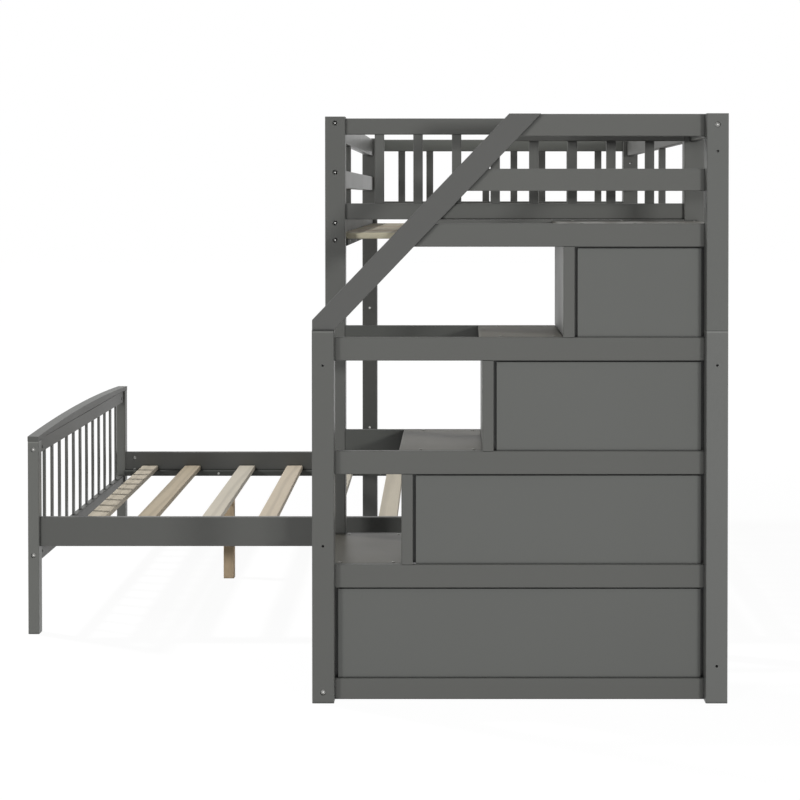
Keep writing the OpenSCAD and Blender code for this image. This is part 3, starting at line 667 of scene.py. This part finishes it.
# Finds by place the bolts whose rims are painted brighter, as painted light
def lit_bolts(tree):
    coords = add(tree, "ShaderNodeTexCoord", (-1100, 300))
    parts = add(tree, "ShaderNodeSeparateXYZ", (-900, 300))
    at_foot = add_math(tree, "LESS_THAN", (-700, 400), FOOT_POST_X)
    at_floor = add_math(tree, "LESS_THAN", (-700, 200), LOW_BOLT_Z)
    toward_top = add(tree, "ShaderNodeVectorMath", (-900, 600), operation="DOT_PRODUCT")
    toward_top.inputs[1].default_value = CORNER_DIRECTION
    at_top = add_math(tree, "GREATER_THAN", (-700, 600), CORNER_REACH)
    low_bolt = add_math(tree, "MAXIMUM", (-600, 300))
    lit_bolt = add_math(tree, "MAXIMUM", (-450, 400))
    wire(
        tree,
        (coords, "Object", parts, "Vector"),
        (parts, "X", at_foot, 0),
        (parts, "Z", at_floor, 0),
        (at_foot, "Value", low_bolt, 0),
        (at_floor, "Value", low_bolt, 1),
        (coords, "Object", toward_top, 0),
        (toward_top, "Value", at_top, 0),
        (low_bolt, "Value", lit_bolt, 0),
        (at_top, "Value", lit_bolt, 1),
    )
    return lit_bolt


def zinc_plate():
    material, tree, shader = new_material("zinc plate")
    shader.inputs["Metallic"].default_value = 1.0
    spangle = place_group(tree, spangle_group, (-300, -100), **BOLT_SPANGLE)
    lit_bolt = lit_bolts(tree)
    rim = add(tree, "ShaderNodeMix", (-300, 300), data_type="RGBA")
    rim.inputs["A"].default_value = RIM_PAINTED_SHADE
    rim.inputs["B"].default_value = RIM_PAINTED_LIGHT
    deep = add(tree, "ShaderNodeAmbientOcclusion", (-700, 700), samples=OCCLUSION_SAMPLES)
    deep.inputs["Distance"].default_value = SOCKET_REACH
    socket = add_range(tree, (-400, 700), source=SOCKET_RANGE, result=(1.0, 0.0))
    plate = add(tree, "ShaderNodeMix", (-100, 400), data_type="RGBA")
    plate.inputs["B"].default_value = SOCKET_PAINTED_GLINT
    wire(
        tree,
        (lit_bolt, "Value", rim, "Factor"),
        (deep, "AO", socket, "Value"),
        (socket, "Result", plate, "Factor"),
        (rim, "Result", plate, "A"),
        (plate, "Result", shader, "Base Color"),
        (spangle, "Roughness", shader, "Roughness"),
    )
    return material


zinc = zinc_plate()
print("zinc on bolts:", zinc.name)

# %% [markdown]
# The small screws are plain zinc, shaded a little in their crossed slots. Two of them,
# in the far left post, catch the light and get a brighter colour of their own.

# %% Zinc on small screws
SLOT_REACH = 0.003


def screw_zinc(name, colour):
    material, tree, shader = new_material(name)
    shader.inputs["Metallic"].default_value = 1.0
    spangle = place_group(tree, spangle_group, (-300, -100), **SCREW_SPANGLE)
    joint = place_group(tree, shade_group, (-600, 300), Reach=SLOT_REACH)
    base = add(tree, "ShaderNodeVectorMath", (-300, 300), operation="SCALE")
    base.inputs[0].default_value = colour
    wire(
        tree,
        (joint, "Light", base, "Scale"),
        (base, "Vector", shader, "Base Color"),
        (spangle, "Roughness", shader, "Roughness"),
    )
    return material


zinc_small = screw_zinc("zinc on small screws", (0.50, 0.50, 0.47))
zinc_bright = screw_zinc("bright zinc on small screws", (0.95, 0.95, 0.92))
print("zinc on screws:", zinc_small.name, "and", zinc_bright.name)

# %% [markdown]
# Every board now gets the finish that fits the way it runs. The CAD boards keep their
# shapes; only what fills their material slots changes.

# %% Finish the boards
FINISHES = [
    (paint_up, """loft_post_near_left loft_post_near_right loft_post_far_left
        loft_post_far_right near_end_slats far_end_slats side_guard_pickets outer_stiles
        foot_slats head_slats"""),
    (paint_left_post, "stair_post_front"),
    (paint_right_post, "stair_post_back"),
    (paint_upper_post, "stair_post_back_upper"),
    (paint_bed_post, "lower_foot_posts lower_head_posts"),
    (paint_across, """near_end_top_rail near_end_bottom_rail far_end_bottom_rail
        outer_base_rail outer_tread_rails outer_deck_rail outer_mid_guard outer_top_guard
        inner_deck_rail inner_top_guard lower_side_rails tread_cleats"""),
    (paint_inner_shaded, "inner_tread_rails"),
    (paint_far_end_lit, "far_end_top_rail"),
    (paint_slope, "outer_handrail inner_handrail"),
    (paint_back, """left_top_guard left_mid_guard right_mid_guard side_top_guard
        side_base_rail head_bottom_rail"""),
    (paint_side_rail, "left_side_rail right_side_rail right_top_guard"),
    (paint_bed_end, """foot_top_board foot_cap foot_bottom_rail head_top_board head_cap
        end_arches"""),
    (paint_ledger, "upper_slat_ledgers lower_slat_ledgers"),
    (paint_riser, "stair_risers"),
    (paint_tread, "stair_tread_1 stair_tread_2"),
    (paint_high_tread_lit, "stair_tread_3 stair_tread_4"),
    (paint_sheet, "outer_panels"),
    (pine_lower, "lower_bed_slats"),
    (pine_upper, "upper_bed_slats"),
    (pine_legs, "centre_legs post_dowels"),
    (zinc, "frame_bolts barrel_nuts"),
]

finish_of = {name: material for material, names in FINISHES for name in names.split()}
for name, board in nodes.items():
    for material_slot in board.material_slots:
        material_slot.material = finish_of[name]
print("boards finished:", len(finish_of), "with", len(FINISHES), "finishes")

# %% [markdown]
# Small cross-head screws hold the steps down on their cleats, one near each corner, and
# the slat ledgers on their rails, about 0.3 m apart. They are too small for the CAD
# model. One head starts as a short cylinder: its top rim is rounded with a bevel, and two
# crossed bars are cut out of it. A picture of a cross would be simpler, but a real slot
# catches the light from any side.

# %% One screw head
SCREW_RADIUS = 0.0042
SCREW_HEIGHT = 0.0016
SCREW_SIDES = 18
SCREW_EASE = 0.0009
SLOT_LENGTH = 0.0050
SLOT_WIDTH = 0.0011
SLOT_DEPTH = 0.0009
FACES_UP = 0.9
SMOOTH_BELOW = math.radians(35)


def cut_slot(head, length, width):
    deselect()
    bpy.ops.mesh.primitive_cube_add(
        size=1.0, location=(0.0, 0.0, SCREW_HEIGHT), scale=(length, width, SLOT_DEPTH * 2)
    )
    bar = bpy.context.object
    pick(head)
    slot = head.modifiers.new("slot", "BOOLEAN")
    slot.operation = "DIFFERENCE"
    slot.object = bar
    bpy.ops.object.modifier_apply(modifier=slot.name)
    bpy.data.objects.remove(bar)


def screw_head():
    deselect()
    bpy.ops.mesh.primitive_cylinder_add(
        vertices=SCREW_SIDES, radius=SCREW_RADIUS, depth=SCREW_HEIGHT,
        location=(0.0, 0.0, SCREW_HEIGHT / 2),
    )
    head = bpy.context.object
    bpy.ops.object.transform_apply(location=True, rotation=True, scale=True)
    for face in head.data.polygons:
        face.select = face.normal.z > FACES_UP
    bpy.ops.object.mode_set(mode="EDIT")
    bpy.ops.mesh.bevel(offset=SCREW_EASE, segments=3, affect="EDGES")
    bpy.ops.object.mode_set(mode="OBJECT")
    cut_slot(head, SLOT_LENGTH, SLOT_WIDTH)
    cut_slot(head, SLOT_WIDTH, SLOT_LENGTH)
    pick(head)
    bpy.ops.object.shade_smooth_by_angle(angle=SMOOTH_BELOW)
    return head


print("screw heads are", round(2000 * SCREW_RADIUS, 1), "mm wide")

# %% [markdown]
# The other heads are copies of that one, each turned its own way, because nobody lines
# screws up. All that hold the same boards are joined into one piece, which rides on the
# bed's only body.

# %% Rows of screws
SCREW_TURN = 0.7


def drive_screws(name, places, material):
    head = screw_head()
    copies = []
    for number, (place, tip) in enumerate(places):
        pick(head)
        bpy.ops.object.duplicate(linked=False)
        copy = bpy.context.object
        copy.location = place
        copy.rotation_euler = Vector(tip).to_track_quat("Z", "Y").to_euler()
        copy.rotation_euler.rotate_axis("Z", SCREW_TURN * number)
        copies.append(copy)
    bpy.data.objects.remove(head)
    pick(copies[0])
    for copy in copies:
        copy.select_set(True)
    bpy.ops.object.transform_apply(location=True, rotation=True, scale=True)
    bpy.ops.object.join()
    piece = bpy.context.object
    piece.name = name
    piece.data.materials.clear()
    piece.data.materials.append(material)
    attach(piece, "root")
    print(name, "heads:", len(copies), "faces:", len(piece.data.polygons))


print("each screw is turned", SCREW_TURN, "radians from the last")

# %% [markdown]
# Four screws go into each step, over the cleats below it. Two more close the spare holes
# of the far left post, which glint in the photograph.

# %% Screws in the steps and the far left post
CLEAT_LINES = (0.057, 0.1965)
STEP_INSET = 0.010
HOLE_HEIGHTS = (0.410, 0.880)

step_places = []
for n in range(1, 5):
    low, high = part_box(f"stair_tread_{n}")
    for x in (low.x + line for line in CLEAT_LINES):
        for y in (low.y + STEP_INSET, high.y - STEP_INSET):
            step_places.append(((x, y, high.z), (0, 0, 1)))
drive_screws("step_screws", step_places, zinc_small)

low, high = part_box("loft_post_far_left")
post_places = [(((low.x + high.x) / 2, low.y, z), (0, -1, 0)) for z in HOLE_HEIGHTS]
drive_screws("post_screws", post_places, zinc_bright)

# %% [markdown]
# Each slat ledger is screwed to its rail from the inside, seven times along its length.
# The lower bed's ledgers run across and the loft's run back.

# %% Screws in the ledgers
LEDGER = 0.020
LOWER_SPACING = 0.305
UPPER_SPACING = 0.28
SCREWS_EACH_WAY = 3

ledger_steps = range(-SCREWS_EACH_WAY, SCREWS_EACH_WAY + 1)
ledger_places = []
low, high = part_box("lower_slat_ledgers")
height = (low.z + high.z) / 2
for k in ledger_steps:
    x = LOWER_SPACING * k
    ledger_places.append(((x, high.y - LEDGER, height), (0, -1, 0)))
    ledger_places.append(((x, low.y + LEDGER, height), (0, 1, 0)))
low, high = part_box("upper_slat_ledgers")
height = (low.z + high.z) / 2
for k in ledger_steps:
    y = (low.y + high.y) / 2 + UPPER_SPACING * k
    ledger_places.append(((low.x + LEDGER, y, height), (1, 0, 0)))
    ledger_places.append(((high.x - LEDGER, y, height), (-1, 0, 0)))
drive_screws("ledger_screws", ledger_places, zinc_small)

# %% [markdown]
# The camera stands where the photographer stood: 1.3 m up and 4.7 m in front of the
# stair, with a long lens. It looks down a little, and the lens is shifted so that
# the posts stay nearly upright.

# %% Camera
CAMERA_PLACE = (0.305, -5.9855, 1.319)
CAMERA_TILT = 1.0
FOCAL_PIXELS = 1830.0
PICTURE = 800.0
SENSOR = 36.0
VANISHING = (461.0, 196.0)

camera_data = bpy.data.cameras.new("camera")
camera = bpy.data.objects.new("camera", camera_data)
bpy.context.scene.collection.objects.link(camera)
camera.location = CAMERA_PLACE
camera.rotation_euler = (math.radians(90.0 - CAMERA_TILT), 0.0, 0.0)
camera_data.sensor_width = SENSOR
camera_data.lens = FOCAL_PIXELS * SENSOR / PICTURE
lens_centre_y = VANISHING[1] + FOCAL_PIXELS * math.tan(math.radians(CAMERA_TILT))
camera_data.shift_x = (PICTURE / 2 - VANISHING[0]) / PICTURE
camera_data.shift_y = -(PICTURE / 2 - lens_centre_y) / PICTURE
bpy.context.scene.camera = camera
shift = round(camera_data.shift_x, 3), round(camera_data.shift_y, 3)
print("lens", round(camera_data.lens, 1), "mm, shift", shift)

# %% [markdown]
# The studio is white, with no visible horizon. More light would also bleach the bed, so
# the white comes from the floor and the world themselves, and only where the camera looks
# at them, straight, in a reflection or through glass. This helper finds such rays.

# %% Helper for what the camera sees
def seen_rays(tree, rays):
    seen = add_math(tree, "MAXIMUM", (-600, 500))
    seen_through = add_math(tree, "MAXIMUM", (-400, 500))
    wire(
        tree,
        (rays, "Is Camera Ray", seen, 0),
        (rays, "Is Glossy Ray", seen, 1),
        (seen, "Value", seen_through, 0),
        (rays, "Is Transmission Ray", seen_through, 1),
    )
    return seen_through


print("ray helper: seen_rays")

# %% [markdown]
# To the camera the floor gives off most of its white and only a little of it is lit, so a
# soft contact shadow stays. Further out it is plain white, as the world behind it. To all
# other light it is a dull grey floor, which keeps the undersides of the boards dark.

# %% Floor
FLOOR_SIZE = 60.0
FLOOR_ROUGHNESS = 0.9
FLOOR_SEEN = 0.08
FLOOR_BOUNCE = 0.20
FLOOR_WHITE = 0.95
FLOOR_FADE = (2.0, 5.0)

deselect()
bpy.ops.mesh.primitive_plane_add(size=FLOOR_SIZE, location=(0.0, 0.0, 0.0))
floor = bpy.context.object
floor.name = "floor"
floor_material, tree, shader = new_material("white floor")
shader.inputs["Roughness"].default_value = FLOOR_ROUGHNESS
shader.inputs["Specular IOR Level"].default_value = 0.0
rays = add(tree, "ShaderNodeLightPath", (-800, 500))
seen = seen_rays(tree, rays)
coords = add(tree, "ShaderNodeTexCoord", (-800, 200))
distance = add(tree, "ShaderNodeVectorMath", (-600, 200), operation="LENGTH")
fade = add_range(tree, (-400, 200), source=FLOOR_FADE, result=(FLOOR_WHITE, 1.0))
share = add_math(tree, "MULTIPLY", (-200, 300))
colour = add_range(tree, (-200, 500), result=(FLOOR_BOUNCE, FLOOR_SEEN))
white = add(tree, "ShaderNodeEmission", (0, -300))
both = add(tree, "ShaderNodeAddShader", (200, 0))
wire(
    tree,
    (rays, "Is Camera Ray", colour, "Value"),
    (colour, "Result", shader, "Base Color"),
    (coords, "Object", distance, 0),
    (distance, "Value", fade, "Value"),
    (seen, "Value", share, 0),
    (fade, "Result", share, 1),
    (share, "Value", white, "Strength"),
    (shader, "BSDF", both, 0),
    (white, "Emission", both, 1),
    (both, "Shader", tree.nodes["Material Output"], "Surface"),
)
floor.data.materials.append(floor_material)
print("floor:", FLOOR_SIZE, "m wide, plain white from", FLOOR_FADE[1], "m outwards")

# %% [markdown]
# The world is white to the camera too, and gives the bed only a faint light from all
# round, because the lamps do the lighting.

# %% World
WORLD_LIGHT = 0.05
WORLD_WHITE = (1.0, 1.0, 1.0, 1.0)

world = bpy.data.worlds.new("studio")
bpy.context.scene.world = world
world.use_nodes = True
tree = world.node_tree
light = tree.nodes["Background"]
light.inputs["Color"].default_value = WORLD_WHITE
light.inputs["Strength"].default_value = WORLD_LIGHT
behind = add(tree, "ShaderNodeBackground", (0, -200))
behind.inputs["Color"].default_value = WORLD_WHITE
rays = add(tree, "ShaderNodeLightPath", (-800, 500))
seen = seen_rays(tree, rays)
mix = add(tree, "ShaderNodeMixShader", (200, 0))
wire(
    tree,
    (seen, "Value", mix, "Fac"),
    (light, "Background", mix, 1),
    (behind, "Background", mix, 2),
    (mix, "Shader", tree.nodes["World Output"], "Surface"),
)
print("world light:", WORLD_LIGHT)

# %% [markdown]
# Two low, flat softboxes stand left and right of the camera, a little above the height of
# the guards. So the guards and the handrail throw soft dark patches on the loft's end
# behind them, as in the photograph. A small lamp high on the left draws the thin shadows
# of the foot-end slats, and one on the right reaches the side faces. A weak one hangs high
# in front and lifts the tops of the steps. Each row gives a lamp's place, what it is
# aimed at, its width and height, and its power in watts.

# %% Lamps
LAMPS = {
    "front left softbox": ((-2.3, -6.3, 1.68), (0.1, -1.2, 0.9), (0.8, 0.35), 120.0),
    "front right softbox": ((2.8, -6.3, 1.68), (0.1, -1.2, 0.9), (0.8, 0.35), 176.0),
    "high front lamp": ((0.4, -4.6, 4.6), (0.1, -0.4, 0.9), (1.0, 1.0), 22.0),
    "high left lamp": ((-3.4, 0.9, 3.95), (-0.4, 0.2, 0.3), (0.35, 0.35), 172.0),
    "right softbox": ((5.4, -1.6, 2.4), (0.2, -0.6, 1.1), (1.6, 1.6), 80.0),
}

for name, (place, target, size, power) in LAMPS.items():
    lamp_data = bpy.data.lights.new(name, "AREA")
    lamp_data.shape = "RECTANGLE"
    lamp_data.size, lamp_data.size_y = size
    lamp_data.energy = power
    lamp = bpy.data.objects.new(name, lamp_data)
    bpy.context.scene.collection.objects.link(lamp)
    lamp.location = place
    lamp.visible_glossy = False
    aim = Vector(target) - Vector(place)
    lamp.rotation_euler = aim.to_track_quat("-Z", "Y").to_euler()
bpy.context.scene.view_settings.view_transform = "Standard"
print("lamps:", len(LAMPS))
